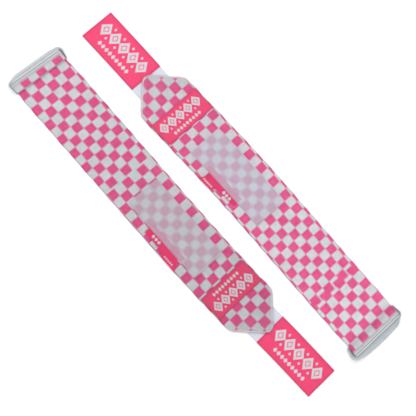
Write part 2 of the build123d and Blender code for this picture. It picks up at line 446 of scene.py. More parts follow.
def tubes(paths, radius, sides=THREAD_SIDES):
    """Threads: a closed tube along each path, radius a number or one for each point of a path."""
    points, faces = [], []
    turn = np.arange(sides) * 2 * np.pi / sides
    for path in paths:
        path = np.asarray(path, float)
        radii = np.broadcast_to(radius, len(path))
        tangent = unit(np.gradient(path, axis=0))
        lateral = unit(np.cross(tangent, ALMOST_UP))
        upward = np.cross(lateral, tangent)
        start = sum(len(p) for p in points)
        round_it = np.cos(turn)[:, None] * lateral[:, None] + np.sin(turn)[:, None] * upward[:, None]
        ring = path[:, None] + radii[:, None, None] * round_it
        points.append(ring.reshape(-1, 3))
        for i in range(len(path) - 1):
            for j in range(sides):
                a, b = start + i * sides + j, start + i * sides + (j + 1) % sides
                faces.append((a, a + sides, b + sides, b))
        faces.append(tuple(start + j for j in range(sides)))
        faces.append(tuple(start + (len(path) - 1) * sides + j for j in reversed(range(sides))))
    return np.concatenate(points), faces


# One stitch: how far along it, how thick, as a share of its radius, and how high, in radii.
STITCH_SHAPE = np.array([
    (0, 0.35, -0.9), (0.16, 0.8, -0.1), (0.5, 1, 0.35), (0.84, 0.8, -0.1), (1, 0.35, -0.9),
])


def stitches(route, length, gap, radius):
    """Single stitches along a route of points that lie on the cloth: each dives in at both ends."""
    route = np.asarray(route, float)
    run = run_along(route)
    count = max(1, int(run[-1] / (length + gap)))
    pitch = run[-1] / count
    paths = []
    for n in range(count):
        at = n * pitch + (pitch - length) / 2 + length * STITCH_SHAPE[:, 0]
        path = np.stack([np.interp(at, run, route[:, k]) for k in range(3)], axis=1)
        path[:, 2] += radius * STITCH_SHAPE[:, 2]
        paths.append(path)
    return tubes(paths, radius * STITCH_SHAPE[:, 1], sides=6)


def dense(route, step=0.5):
    """A route of straight runs, with points about step apart."""
    route = np.asarray(route, float)
    run = run_along(route)
    at = np.unique(np.concatenate([np.arange(0, run[-1], step), run]))
    return np.stack([np.interp(at, run, route[:, k]) for k in range(3)], axis=1)


def joined(*meshes):
    """Several (points, faces) as one."""
    points, faces, start = [], [], 0
    for more_points, more_faces in meshes:
        points.append(more_points)
        faces += [tuple(i + start for i in face) for face in more_faces]
        start += len(more_points)
    return np.concatenate(points), faces


def sewing(side, name, mesh, *materials, kinds=None):
    """Threads of a wrap, from their (points, faces), as one piece."""
    return make_object(side, name, *mesh, materials, kinds, sharp=80)


# ---------------------------------------------------------------- shaders


def colour(red, green, blue):
    """An sRGB colour, from 0 to 255, as the linear one that a shader takes."""
    channels = [c / 255 for c in (red, green, blue)]
    linear = [c / 12.92 if c <= 0.04045 else ((c + 0.055) / 1.055) ** 2.4 for c in channels]
    return (*linear, 1.0)


class Value:
    """A number that varies over a material. Arithmetic on it adds the nodes that work it out."""

    def __init__(self, shader, socket):
        self.shader = shader
        self.socket = socket

    def step(self, operation, *others):
        return self.shader.math(operation, self, *others)

    def __add__(self, other):
        return self.step("ADD", other)

    __radd__ = __add__

    def __sub__(self, other):
        return self.step("SUBTRACT", other)

    def __rsub__(self, other):
        return self.shader.math("SUBTRACT", other, self)

    def __mul__(self, other):
        return self.step("MULTIPLY", other)

    __rmul__ = __mul__

    def __truediv__(self, other):
        return self.step("DIVIDE", other)

    def __mod__(self, other):
        return self.step("FLOORED_MODULO", other)

    def __pow__(self, other):
        return self.step("POWER", other)

    def __abs__(self):
        return self.step("ABSOLUTE")

    def __gt__(self, other):
        return self.step("GREATER_THAN", other)

    def __lt__(self, other):
        return self.step("LESS_THAN", other)

    def at_least(self, low):
        return self.step("MAXIMUM", low)

    def at_most(self, high):
        return self.step("MINIMUM", high)

    def ramp(self, start, end):
        """0 up to start, 1 from end, and even between them."""
        return ((self - start) / (end - start)).at_least(0.0).at_most(1.0)

    def within(self, reach, middle):
        """1 where it is no further than reach from middle, and 0 elsewhere."""
        return self.step("COMPARE", middle, reach)

    def snap(self, pitch):
        return self.step("SNAP", pitch)

    def odd(self, pitch):
        """1 on every other strip of this width, and 0 on those between them."""
        return (self / pitch).step("FLOOR") % 2.0

    def wave(self, pitch):
        """Round humps from 0 to 1, one for each pitch."""
        return abs((self * (math.pi / pitch)).step("SINE"))


class Shader:
    """One material, and short ways to add the nodes that it is made of."""

    def __init__(self, name, roughness=0.8, sheen=0.0, specular=0.3):
        self.material = bpy.data.materials.new(name)
        self.material.use_nodes = True
        self.tree = self.material.node_tree
        self.principled = self.tree.nodes["Principled BSDF"]
        self.principled.inputs["Roughness"].default_value = roughness
        self.principled.inputs["Sheen Weight"].default_value = sheen
        self.principled.inputs["Sheen Roughness"].default_value = 0.5
        self.principled.inputs["Specular IOR Level"].default_value = specular
        self.here = None

    def put(self, socket, value):
        if isinstance(value, Value):
            value = value.socket
        if isinstance(value, bpy.types.NodeSocket):
            self.tree.links.new(value, socket)
        else:
            socket.default_value = value

    def math(self, operation, *values):
        node = self.tree.nodes.new("ShaderNodeMath")
        node.operation = operation
        for socket, value in zip(node.inputs, values):
            self.put(socket, value)
        return Value(self, node.outputs[0])

    def mix(self, share, first, second, blend="MIX"):
        node = self.tree.nodes.new("ShaderNodeMix")
        node.data_type = "RGBA"
        node.blend_type = blend
        self.put(node.inputs[0], share)
        self.put(node.inputs[6], first)
        self.put(node.inputs[7], second)
        return node.outputs[2]

    def toned(self, base, tone):
        """A colour made lighter or darker."""
        return self.mix(1.0, base, self.vector(tone, tone, tone), "MULTIPLY")

    def cloth(self):
        """x and y on the flat cloth, in millimetres. Noise stands at this place from here on."""
        place_on = self.tree.nodes.new("ShaderNodeUVMap")
        place_on.uv_map = "flat"
        parts = self.tree.nodes.new("ShaderNodeSeparateXYZ")
        self.put(parts.inputs[0], place_on.outputs[0])
        x, y = (Value(self, parts.outputs[k]) / MM for k in (0, 1))
        self.here = self.vector(x, y)
        return x, y

    def vector(self, x, y, z=0.0):
        node = self.tree.nodes.new("ShaderNodeCombineXYZ")
        for socket, value in zip(node.inputs, (x, y, z)):
            self.put(socket, value)
        return node.outputs[0]

    def noise(self, scale, detail=2.0):
        """Soft clouds from 0 to 1, scale of them to a unit of the place."""
        node = self.tree.nodes.new("ShaderNodeTexNoise")
        self.put(node.inputs["Vector"], self.here)
        node.inputs["Scale"].default_value = scale
        node.inputs["Detail"].default_value = detail
        return Value(self, node.outputs["Fac"])

    def speckle(self, x, y):
        """A random number from 0 to 1 for each pair of numbers."""
        node = self.tree.nodes.new("ShaderNodeTexWhiteNoise")
        node.noise_dimensions = "2D"
        self.put(node.inputs["Vector"], self.vector(x, y))
        return Value(self, node.outputs["Value"])

    def finish(self, base, height=None, depth=0.15):
        """Sets the colour and, from a height, the bump. depth is the height's size in millimetres."""
        self.put(self.principled.inputs["Base Color"], base)
        if height is not None:
            bump = self.tree.nodes.new("ShaderNodeBump")
            bump.inputs["Strength"].default_value = 0.6
            bump.inputs["Distance"].default_value = depth * MM
            self.put(bump.inputs["Height"], height)
            self.put(self.principled.inputs["Normal"], bump.outputs[0])
        return self.material


# The jacquard pattern repeats, and where one repeat meets the next its checks don't match: seam is the
# strip between the two. On either side of it, the checks have their own pitch along and across the band,
# top is where the first whole row begins, from the middle of the band, odd turns pink into white, stretch
# is where the checks begin to be longer and by how much, and drift is from where to where the rows drift
# across the band, and by how much.
PATTERN = {
    "right": {
        "seam": (190.0, 192.4),
        "hem": {"pitch": (12.05, 12.81), "top": 35.7, "odd": 1, "stretch": [(94.0, 0.053), (45.0, 0.045)],
                "drift": (60.0, 185.0, -1.7)},
        "tab": {"pitch": (12.03, 12.85), "top": 37.8, "odd": 0, "stretch": [(420.0, 0.094)],
                "drift": (340.0, 440.0, -3.6)},
    },
    "left": {
        "seam": (81.6, 98.5),
        "hem": {"pitch": (12.28, 12.28), "top": 38.9, "odd": 0, "stretch": [(94.0, 0.005), (40.0, 0.04)],
                "drift": (0.0, 80.0, 0.0)},
        "tab": {"pitch": (11.99, 12.2), "top": 35.3, "odd": 1, "stretch": [(421.0, 0.165)],
                "drift": (98.5, 428.0, 2.5)},
    },
}
# The left wrap's seam is a pink strip, with white slivers where white checks end at it and white bars.
SEAM_SLIVER, SEAM_BAR = 4.7, 2.0


def checks(part, x, y, edge, way):
    """The field of checks on one side of the seam, from the seam's edge: above 0 on the pink ones, below 0
    on the white ones. way is 1 towards the tab and -1 towards the hem. Returns it and the distance from the
    first row."""
    distance = (x - edge) * way
    for start, by in part["stretch"]:
        distance = distance - ((x - start) * way).at_least(0.0) * by
    drift_start, drift_end, drift_by = part["drift"]
    from_top = x.ramp(drift_start, drift_end) * drift_by + part["top"] - y
    # A sine is above 0 on even checks and below 0 on odd ones, so the product of two is a field of checks.
    along_it = (distance / part["pitch"][0] + 1 + part["odd"]) * math.pi
    across = (from_top / part["pitch"][1]) * math.pi
    return along_it.step("SINE") * across.step("SINE"), from_top


def check_field(side, x, y):
    """A field over the cloth that is above 0 on the pink checks and below 0 on the white ones."""
    pattern = PATTERN[side]
    start, end = pattern["seam"]
    hem_side, _ = checks(pattern["hem"], x, y, start, -1)
    tab_side, tab_top = checks(pattern["tab"], x, y, end, 1)
    before = x < start
    after = x > end
    between = -1.0
    if side == "left":
        pitch = pattern["tab"]["pitch"][1]
        white = (tab_top % (2 * pitch)).within(SEAM_BAR / 2, pitch - SEAM_BAR / 2)
        for near, field in ((x < start + SEAM_SLIVER, hem_side), (x > end - SEAM_SLIVER, tab_side)):
            white = white.at_least(near * (field < 0.0))
        between = 0.7 - white * 1.4
    return hem_side * before + tab_side * after + (1.0 - before - after) * between


# Both wraps are one knit: the right wrap's colours are a little darker, which is painted shade.
KNIT_PINK = {"right": colour(228, 78, 139), "left": colour(238, 84, 146)}
KNIT_WHITE = {"right": colour(208, 216, 218), "left": colour(216, 223, 225)}
KNIT_SHADE = colour(86, 78, 86)
KNIT_PAINTED_LIGHT = {"right": (1.10, 0.88), "left": (1.14, 0.93)}  # painted light and shade: the knit's tone at the hem, lit more, and at the tip, shaded more
WALE, COURSE = 1.05, 0.8  # the pitch of the knit's ribs across the band, and of its rows along it
# Painted shade in the knit's grooves, between its ribs and loops.
GROOVE_SHADE = 0.22
STRAY_SHARE, STRAY = 0.12, 0.26  # how many loops show some of the other colour, and how much of it
TAPE_SHINE, TAPE_SHINE_RISE, TAPE_PATCHY = colour(202, 160, 184), 8.0, 0.24  # the tape under the taper
EYELET_X, EYELET_Y, EYELET_SHADE = 2.5, 2.1, 0.72  # the pitch of the small eyelets between the ribs, and how dark their painted shade is
EYELET_UNEVEN = (0.2, 1.6)  # an eyelet's least strength, and how much noise adds to it
LOOPS, MOTTLE = (1.25, 1.05), 0.3  # small groups of loops that are lighter or darker, and by how much
CLOUDS, GRAIN = 0.2, 0.14  # how far wide clouds and single loops change the tone
EDGE_SHADE, EDGE_SHADE_DARK, EDGE_SHADE_COLOUR = 1.2, 0.5, colour(110, 60, 80)  # painted shade: the band is darker along its edges
HEM_STEP_SHADE = {"right": (18.2, 2.8, 0.45), "left": (15.0, 9.0, 0.3)}  # painted shade where the band steps down behind the folded hem: where, how far each way, how dark


def knit_height(x, y):
    """The knit's surface: ribs along the band, broken into single loops."""
    loop = (x + y.odd(WALE) * (COURSE / 2)).wave(COURSE)
    return y.wave(WALE).step("SQRT") * (0.45 + 0.55 * loop)


def eyelets(x, y):
    """1 in the small eyelets of the knit, which stand in staggered rows, and 0 between them. knit() paints shade into
    them.
    """
    staggered = x + y.odd(EYELET_Y) * (EYELET_X / 2)
    return (staggered.wave(EYELET_X) * y.wave(EYELET_Y)) ** 1.3


def knit(side, back=False):
    """The band's jacquard knit. On its back the two colours change places."""
    sh = Shader(f"{side}_knit_{'back' if back else 'face'}", roughness=0.86, sheen=0.2, specular=0.2)
    x, y = sh.cloth()
    stitch_x, stitch_y = x.snap(COURSE / 2), y.snap(WALE / 2)
    pink = check_field(side, stitch_x, stitch_y) > 0.0
    if back:
        pink = 1.0 - pink
    stray = sh.speckle(stitch_x, stitch_y)
    pink = abs(pink - (stray > 1 - STRAY_SHARE) * STRAY)
    base = sh.mix(pink, KNIT_WHITE[side], KNIT_PINK[side])
    over_tape = x.ramp(SHOULDER_X, SHOULDER_X + TAPE_SHINE_RISE)
    base = sh.mix(over_tape * sh.noise(0.16, 3.0) * TAPE_PATCHY, base, TAPE_SHINE)
    height = knit_height(x, y)
    # Painted shade in the knit's grooves.
    base = sh.mix((1.0 - height) * GROOVE_SHADE, base, KNIT_SHADE, "MULTIPLY")
    # Painted shade in the knit's eyelets.
    least, more = EYELET_UNEVEN
    eyelet_shade = (eyelets(x, y) * (least + more * sh.noise(0.4))).at_most(1.0)
    base = sh.mix(eyelet_shade * EYELET_SHADE, base, KNIT_SHADE, "MULTIPLY")
    # Painted shade along the band's edges.
    edge = 1.0 - ((HALF - abs(y)) / EDGE_SHADE).at_most(1.0)
    base = sh.mix(edge * EDGE_SHADE_DARK, base, EDGE_SHADE_COLOUR, "MULTIPLY")
    # Painted shade at the step behind the folded hem.
    centre, reach, dark = HEM_STEP_SHADE[side]
    hem_step_shade = (1.0 - abs(x - centre) / reach).at_least(0.0)
    base = sh.mix(hem_step_shade * dark, base, KNIT_SHADE, "MULTIPLY")
    # Painted light: the knit is made lighter at the hem and darker, as painted shade, towards the tip.
    at_hem, at_tip = KNIT_PAINTED_LIGHT[side]
    tone = at_hem + x * ((at_tip - at_hem) / TIP_X)
    clouds = (sh.noise(0.05, 3.0) - 0.5) * CLOUDS
    mottle = (sh.speckle(x.snap(LOOPS[0]), y.snap(LOOPS[1])) - 0.5) * MOTTLE
    grain = 1 - GRAIN / 2 + GRAIN * stray
    return sh.finish(sh.toned(base, (tone + clouds + mottle) * grain), height, depth=0.35)


FLAG_SHIFT = {"right": 3.0, "left": 0.0}  # the flag label lies further along on the right wrap
FLAG_ROOT_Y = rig.box("right_flag_label_root")[1].y / MM - BAND_Y["right"]
FLAG_GLOW, FLAG_GLOW_SHARE = colour(214, 96, 138), 0.2  # the hidden part of the flag, through the pile
# Both patches are one pile: the right patch's colours are a little darker, which is painted shade.
PILE_PINK = {"right": colour(188, 157, 174), "left": colour(195, 165, 186)}
PILE_WHITE = {"right": colour(190, 192, 199), "left": colour(197, 200, 209)}
PILE_BLUR = 3.0  # how far the pile blurs the checks below it
PILE_EVEN, PILE_SHARP = 0.58, 1.2  # how pink it is where two checks meet, and how fast that changes


def pile(side):
    sh = Shader(f"{side}_pile", roughness=0.95, sheen=0.5, specular=0.15)
    x, y = sh.cloth()
    blur = (sh.noise(0.5, 4.0) - 0.5) * PILE_BLUR
    below_x, below_y = x + blur, y + blur
    pink = (PILE_EVEN + PILE_SHARP * check_field(side, below_x, below_y)).at_least(0.0).at_most(1.0)
    over_length = below_x.within((FLAG[1] - FLAG[0]) / 2, sum(FLAG) / 2 + FLAG_SHIFT[side])
    over_flag = over_length * (below_y < FLAG_ROOT_Y)
    pink = pink + over_flag * (1.0 - pink) * 0.8
    base = sh.mix(pink, PILE_WHITE[side], PILE_PINK[side])
    base = sh.mix(over_flag * FLAG_GLOW_SHARE, base, FLAG_GLOW)
    curl = sh.noise(1.6, 5.0)
    return sh.finish(sh.toned(base, 0.77 + 0.32 * curl), curl, depth=0.6)


RIB_PITCH, RIB_DEPTH = 2.0, 0.42


def woven(name, face, dark, roughness=0.55, sheen=0.2, pitch=0.42):
    """Fine woven cloth, in one colour with a darker one between its threads and in its coarser ribs."""
    sh = Shader(name, roughness=roughness, sheen=sheen, specular=0.35)
    x, y = sh.cloth()
    ribs = x.wave(RIB_PITCH) * y.wave(RIB_PITCH)
    height = x.wave(pitch).step("SQRT") * (0.4 + 0.6 * y.wave(pitch))
    base = sh.mix((1.0 - ribs) * RIB_DEPTH, face, dark)
    base = sh.mix((1.0 - height) * 0.5, base, dark)
    strand = sh.speckle(0.0, y.snap(pitch))
    slub = sh.noise(0.12, 3.0)
    return sh.finish(sh.toned(base, 0.84 + 0.12 * strand + 0.16 * slub), height, depth=0.12)


def thread(name, face, dark, uneven=0.24):
    """Spun sewing thread, with its twist."""
    sh = Shader(name, roughness=0.6, sheen=0.35, specular=0.3)
    x, y = sh.cloth()
    twist = (x + y).wave(0.35)
    base = sh.mix(twist * 0.45, face, dark)
    return sh.finish(sh.toned(base, 1 - uneven / 2 + uneven * sh.noise(0.6)), twist, depth=0.08)


def elastic(side, dark, light):
    """The white ribbed elastic of a thumb loop. Its ribs are geometry, so this adds the threads."""
    sh = Shader(f"{side}_elastic", roughness=0.8, sheen=0.3, specular=0.25)
    x, y = sh.cloth()
    threads = x.wave(0.5) * y.wave(0.9)
    base = sh.mix(threads * 0.8, dark, light)
    return sh.finish(sh.toned(base, 0.9 + 0.18 * sh.noise(0.15, 3.0)), threads, depth=0.2)


def nylon(name, tint):
    """The translucent backing of the hook tape, and its hooks."""
    sh = Shader(name, roughness=0.42, sheen=0.0, specular=0.5)
    x, y = sh.cloth()
    grid = x.wave(0.8) * y.wave(0.8)
    base = sh.mix(grid * 0.5, tint, colour(200, 204, 218))
    return sh.finish(sh.toned(base, 0.92 + 0.14 * sh.noise(0.1, 3.0)), grid, depth=0.12)


KNIT = {side: (knit(side), knit(side, back=True)) for side in SIGN}
PILE = {side: pile(side) for side in SIGN}
TAB_CLOTH = (
    woven("tab_label_pink", colour(246, 66, 118), colour(186, 38, 84)),
    woven("tab_label_white", colour(212, 218, 221), colour(172, 148, 160)),
)
# Both band labels are one weave: the right label's colours are darker, which is painted shade.
BAND_CLOTH = {
    "right": (woven("right_label_pink", colour(218, 60, 104), colour(160, 36, 74)),
              woven("right_label_white", colour(194, 200, 203), colour(156, 134, 146))),
    "left": (woven("left_label_pink", colour(236, 64, 114), colour(176, 38, 80)),
             woven("left_label_white", colour(206, 212, 215), colour(166, 142, 154))),
}
SATIN = woven("flag_satin", colour(216, 36, 98), colour(184, 30, 80), roughness=0.38, sheen=0.1, pitch=0.3)
PALE_THREAD = thread("pale_thread", colour(206, 188, 200), colour(170, 150, 165))
WHITE_THREAD = thread("white_thread", colour(234, 238, 240), colour(186, 192, 198))
GREY_THREAD = thread("grey_thread", colour(206, 206, 210), colour(160, 150, 158))
BIGHT_THREAD = thread("bight_thread", colour(198, 202, 206), colour(146, 142, 150), uneven=0.9)
# The stitches along the hem: real thread, its dark colour partly painted shade for the needle holes.
NEEDLE_THREAD_AND_SHADE = thread("needle_thread_and_shade", colour(78, 66, 74), colour(56, 46, 52))
LABEL_THREAD = thread("label_thread", colour(112, 46, 68), colour(84, 40, 56))
# Both loops are one elastic: the left loop's colours are darker, which is painted shade.
ELASTIC = {
    "right": elastic("right", colour(206, 213, 216), colour(230, 235, 237)),
    "left": elastic("left", colour(170, 178, 183), colour(190, 198, 203)),
}
TAPE = nylon("hook_tape_nylon", colour(198, 203, 214))
HOOKS = nylon("hook_nylon", colour(238, 240, 248))

# ---------------------------------------------------------------- the band


def band_height(x):
    """The height of the band's mid-thickness."""
    middle = BAND_T / 2
    hem = BAND_T * (1 - smooth((x - HEM_DEPTH) / HEM_RAMP))
    rise = TAPE_TOP * smooth((x - TAPER_RISE[0]) / (TAPER_RISE[1] - TAPER_RISE[0]))
    lift = TIP_LIFT * smooth((x - TIP_RISE[0]) / (TIP_RISE[1] - TIP_RISE[0]))
    return middle + hem + rise + lift


def band_half(x):
    """Half the band's width: full, then the taper, with a soft shoulder and a blunt tip."""
    slope = (HALF - TIP_HALF) / (TIP_X - SHOULDER_X)
    line = TIP_HALF + slope * (TIP_X - x)
    gap = HALF - line
    taper = (HALF + line - np.sqrt(gap * gap + SHOULDER_SOFT ** 2 * 4)) / 2
    near_tip = np.clip((x - TIP_X + TIP_ROUND) / TIP_ROUND, 0, 1)
    return taper - TIP_ROUND * TIP_BLUNT * (1 - np.sqrt(1 - 0.98 * near_tip ** 2))


def knit_relief(side):
    """Low relief of the band: the checks stand a little proud of each other, and ribs run along it."""
    phase = PHASE[side][0]

    def relief(x, y):
        checks_up = np.sin(np.pi * x / CHECK) * np.sin(np.pi * (y - HALF) / CHECK)
        ribs = np.sin(2 * np.pi * y / RIB_WAVE)
        slack = np.sin(x / SLACK_WAVE[0] + phase) * np.sin(y / SLACK_WAVE[1] + 0.6 * phase)
        height = RELIEF_CHECKS * checks_up + RELIEF_RIBS * ribs + RELIEF_SLACK * slack
        return height * smooth(x / FOLDED_UNDER)
    return relief


def selvedge(x, side):
    """How much wider the band is than straight: its edges are wavy, the folded hem stands out and the edges
    are drawn in just behind it."""
    phase = PHASE[side][1]
    wavy = EDGE_CHECKS * np.sin(np.pi * x / CHECK + phase) + EDGE_SLOW * np.sin(x / EDGE_WAVE + phase)
    wider_start, wider_end = HEM_WIDER_TO
    wider = HEM_WIDER * (1 - smooth((x - wider_start) / (wider_end - wider_start)))
    waist = HEM_WAIST * np.exp(-((x - HEM_WAIST_X) / HEM_WAIST_REACH) ** 2)
    return 1 + (wavy + wider - waist) / HALF


def band_path(start, end):
    """The middle line of a length of band, and its place on the flat cloth. The first length starts with
    the end that is folded under."""
    count = max(2, round((end - start) / BAND_STEP)) + 1
    x = np.linspace(start, end, count)
    path, flat = np.stack([x, band_height(x)], axis=1), x
    if start == 0:
        turn = np.radians(np.linspace(-90, 90, 11)[:-1])
        radius, centre = BAND_T / 2, BAND_T
        upper = x > centre + 0.3  # leaves out those that lie on the nose
        nose = np.stack([centre - radius * np.cos(turn), centre + radius * np.sin(turn)], axis=1)
        under_x = np.arange(HEM_DEPTH, centre, -BAND_STEP)
        under = np.stack([under_x, np.full(len(under_x), BAND_T / 2)], axis=1)
        path = np.concatenate([under, nose, path[upper]])
        run = run_along(path)
        flat = run - run[-1] + end
    return path, flat


def band_pieces(side):
    """The band, one piece for each line that it bends on."""
    ends = [0.0, *CUTS, TIP_X]
    steps = steps_across(HALF, BAND_STEP, BAND_ROUND)
    for number, (start, end) in enumerate(zip(ends, ends[1:]), start=1):
        path, flat = band_path(start, end)
        width = band_half(path[:, 0]) * selvedge(path[:, 0], side)
        relief = knit_relief(side)
        points, faces, kinds, on_cloth = ribbon(path, flat, width, steps, KNIT_T, BAND_ROUND, top=relief)
        kinds = np.where(kinds == 1, 1, 0)
        made = weld(make_object(side, f"band_{number}", points, faces, KNIT[side], kinds, on_cloth))
        bend(made, side, number)
        nodes = [f"{side}_band_{number}"] + ([f"{side}_band_7"] if number == 6 else [])
        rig.replaces(made, *nodes)
        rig.slot(made, "band_knit")
        area = float(np.sum((width[1:] + width[:-1]) * np.diff(flat)))
        length, across = float(flat[-1] - flat[0]), 2 * HALF
        area = min(area, length * across)
        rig.sheet(made, flat=(across * MM, length * MM), held="laid", area=area * MM * MM)


def bend(made, side, number):
    """Lets a piece bend with the band at one of its flex lines."""
    middle, reach = FLEX[number - 1], FLEX_REACH[number - 1]
    start, end = (spot(side, x, BAND_T / 2) for x in (middle - reach, middle + reach))
    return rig.blend(made, f"{side}_{FLEX_BODIES[number - 1]}", f"{side}_{FLEX_BODIES[number]}", start, end)


# ---------------------------------------------------------------- the hem and the thumb loop

OVERLOCK = (0.3, 9.0)
OVERLOCK_PITCH = 0.62
OVERLOCK_RAGGED = 0.9  # every other bight is this much shorter
OVERLOCK_PAST = 0.4  # how far it reaches past the band's edges
BIGHT_STEPS, BIGHT_SLANT = 9, 0.8 * OVERLOCK_PITCH
BIGHT_RADIUS, BIGHT_ARCH, BIGHT_WANDER = 0.29, 0.16, 0.1
CHAIN_RADIUS, CHAIN_SWING, CHAIN_HEIGHT, CHAIN_RISE = 0.42, 0.4, 0.34, 0.12
CHAIN_WAVE = 1.5 * OVERLOCK_PITCH
NEEDLE_STITCHES, NEEDLE_LIFT = (1.5, 1.2, 0.58), 0.8  # length, gap and radius, and the height over the hem
NEEDLE_X = {"right": 3.9, "left": 3.2}
NOSE_CHAIN, CHAIN_GAP = 0.8, 1.5
LOOP_T = 0.9
LOOP_HEIGHT = top_of("thumb_loop")
LOOP_END, LOOP_END_HEIGHT = 17.0, 4.4  # how far its ends reach along the band, and how high they are
LOOP_EDGE = 41.0  # how far its two legs are from the band's middle
# Each loop stands on its edge and leans outwards. base is how far its foot is from the hem, lean is how
# far it leans, in degrees, in the middle and on its two legs, at -y and at +y.
LOOP = {
    "right": {"base": 1.2, "lean": 38.0, "legs": (4.0, 26.0)},
    "left": {"base": -0.6, "lean": 79.0, "legs": (38.0, 8.0)},
}
LOOP_STEP = 0.5
LOOP_RIB, LOOP_RIB_DEPTH = 1.6, 0.25
LOOP_FOOT = 0.5  # the height of its lower edge
LOOP_RIM = 0.14  # the share of its width that is rounded at each edge
LOOP_BEAD = (0.84, 0.1, 0.35)  # the thicker bead near each edge: where, how wide, by how much
LOOP_LEGS = 18.0  # how far from its ends, across the band, it turns to its full lean
LOOP_LOWER = 3.0  # from here to its ends it gets lower
LOOP_BEND = (6.5, 1.0)  # from where to where, along the band, it lets go of the hem
# Places across its width, closer together near its edges.
LOOP_ACROSS = np.array([0, 0.02, 0.06, 0.12, 0.2, 0.3, 0.4, 0.5, 0.6, 0.7, 0.8, 0.88, 0.94, 0.98, 1.0])


def hem_surface(x):
    """The height of the hem's upper face."""
    nose = np.clip(1 - ((BAND_T - x) / BAND_T) ** 2, 0, 1)
    return np.where(x < BAND_T, BAND_T + BAND_T * np.sqrt(nose), band_height(x) + BAND_T / 2)


def hem_overlock(side):
    """White overlock thread over the hem: close bights, chains over them and a line of stitches, dark partly with
    painted shade for their needle holes.
    """
    low, high = OVERLOCK
    edge = HALF + OVERLOCK_PAST
    bights = []
    for n in range(int(2 * edge / OVERLOCK_PITCH)):
        x = np.linspace(low, high if n % 2 else high - OVERLOCK_RAGGED, BIGHT_STEPS)
        y = -edge + n * OVERLOCK_PITCH + np.linspace(0, BIGHT_SLANT, BIGHT_STEPS)
        wander = BIGHT_WANDER * math.sin(n * 2.4)
        z = hem_surface(x) + 0.05 + BIGHT_ARCH * np.sin(np.linspace(0, np.pi, BIGHT_STEPS))
        bights.append(np.stack([x, y + wander, z], axis=1))
    chains = []
    needle_x = NEEDLE_X[side]
    for x in (NOSE_CHAIN, needle_x - CHAIN_GAP, needle_x, needle_x + CHAIN_GAP):
        y = np.arange(-edge, edge, 0.3)
        swing = x + CHAIN_SWING * np.sin(np.pi * y / CHAIN_WAVE)
        z = hem_surface(swing) + CHAIN_HEIGHT + CHAIN_RISE * np.cos(2 * np.pi * y / CHAIN_WAVE)
        chains.append(np.stack([swing, y, z], axis=1))
    bights, chains = tubes(bights, BIGHT_RADIUS), tubes(chains, CHAIN_RADIUS)
    kinds = [0] * len(bights[1]) + [1] * len(chains[1])
    made = sewing(side, "hem_overlock", joined(bights, chains), BIGHT_THREAD, WHITE_THREAD, kinds=kinds)
    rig.ride(made, f"{side}_hem_section")
    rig.replaces(made, f"{side}_hem_overlock")
    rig.slot(made, "white_thread")
    # A real line of stitches, painted dark partly for the shade in its needle holes.
    z = hem_surface(needle_x) + NEEDLE_LIFT
    needle = stitches(dense([(needle_x, -edge, z), (needle_x, edge, z)]), *NEEDLE_STITCHES)
    made = sewing(side, "hem_needle_line", needle, NEEDLE_THREAD_AND_SHADE)
    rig.ride(made, f"{side}_hem_section")
    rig.slot(made, "grey_thread")


def spline(points, step):
    """A smooth curve through points, with points about step apart."""
    points = np.asarray(points, float)
    run = run_along(points)
    return curve_through(run, points, np.linspace(0, run[-1], max(2, round(run[-1] / step)) + 1))


def loop_line(base):
    """The line of a loop's foot, from one of its ends round the hem to the other."""
    half = [(LOOP_END, LOOP_EDGE - 0.4), (9.0, LOOP_EDGE), (4.0, LOOP_EDGE), (2.0, 39.7), (1.4, 34.0),
            (1.4 + 0.75 * (base - 1.4), 18.0), (base, 0.0)]
    return spline(half + [(x, -y) for x, y in reversed(half[:-1])], LOOP_STEP)


def thumb_loop(side):
    """The thumb loop: ribbed elastic tape on its edge, leaning outwards, its two ends beside the hem."""
    shape = LOOP[side]
    line = loop_line(shape["base"])
    tangent = unit(np.gradient(line, axis=0))
    outward = np.stack([tangent[:, 1], -tangent[:, 0]], axis=1)
    outward *= np.sign(np.sum(outward * (line - (LOOP_END, 0)), axis=1))[:, None]
    run = np.arange(len(line)) * LOOP_STEP
    leg = np.where(line[:, 1] < 0, *shape["legs"])
    lean = leg + (shape["lean"] - leg) * smooth((LOOP_EDGE - np.abs(line[:, 1])) / LOOP_LEGS)
    lean = np.radians(lean)[:, None]
    lower = smooth((line[:, 0] - LOOP_LOWER) / (LOOP_END - LOOP_LOWER))
    height = LOOP_HEIGHT - (LOOP_HEIGHT - LOOP_END_HEIGHT) * lower
    from_middle = np.abs(LOOP_ACROSS * 2 - 1)
    rounded = (np.clip(from_middle - (1 - LOOP_RIM), 0, 1) / LOOP_RIM) ** 2
    bead_at, bead_width, bead_by = LOOP_BEAD
    bead = 1 + bead_by * np.exp(-((from_middle - bead_at) / bead_width) ** 2)
    ribs = 1 + LOOP_RIB_DEPTH * np.cos(2 * np.pi * run / LOOP_RIB)
    up = height[:, None] * LOOP_ACROSS
    half_thick = LOOP_T / 2 * bead * np.sqrt(np.clip(1 - rounded, 0, 1)) * ribs[:, None]
    layers = []
    for through in (half_thick, -half_thick):
        shift = up * np.sin(lean) + through * np.cos(lean)
        z = LOOP_FOOT + up * np.cos(lean) - through * np.sin(lean)
        xy = line[:, None] + outward[:, None] * shift[:, :, None]
        layers.append(np.concatenate([xy, z[:, :, None]], axis=-1))
    points, faces, _ = shell(*layers)
    flat = on_both(run[:, None], LOOP_ACROSS * LOOP_HEIGHT)
    made = weld(make_object(side, "thumb_loop", points, faces, [ELASTIC[side]], flat=flat))
    turn_out(made)
    start, end = (spot(side, x, BAND_T) for x in LOOP_BEND)
    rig.blend(made, f"{side}_hem_section", f"{side}_loop", start, end)
    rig.replaces(made, f"{side}_thumb_loop", f"{side}_thumb_loop_ends")
    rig.slot(made, "loop_tape")


# ---------------------------------------------------------------- the pile patch

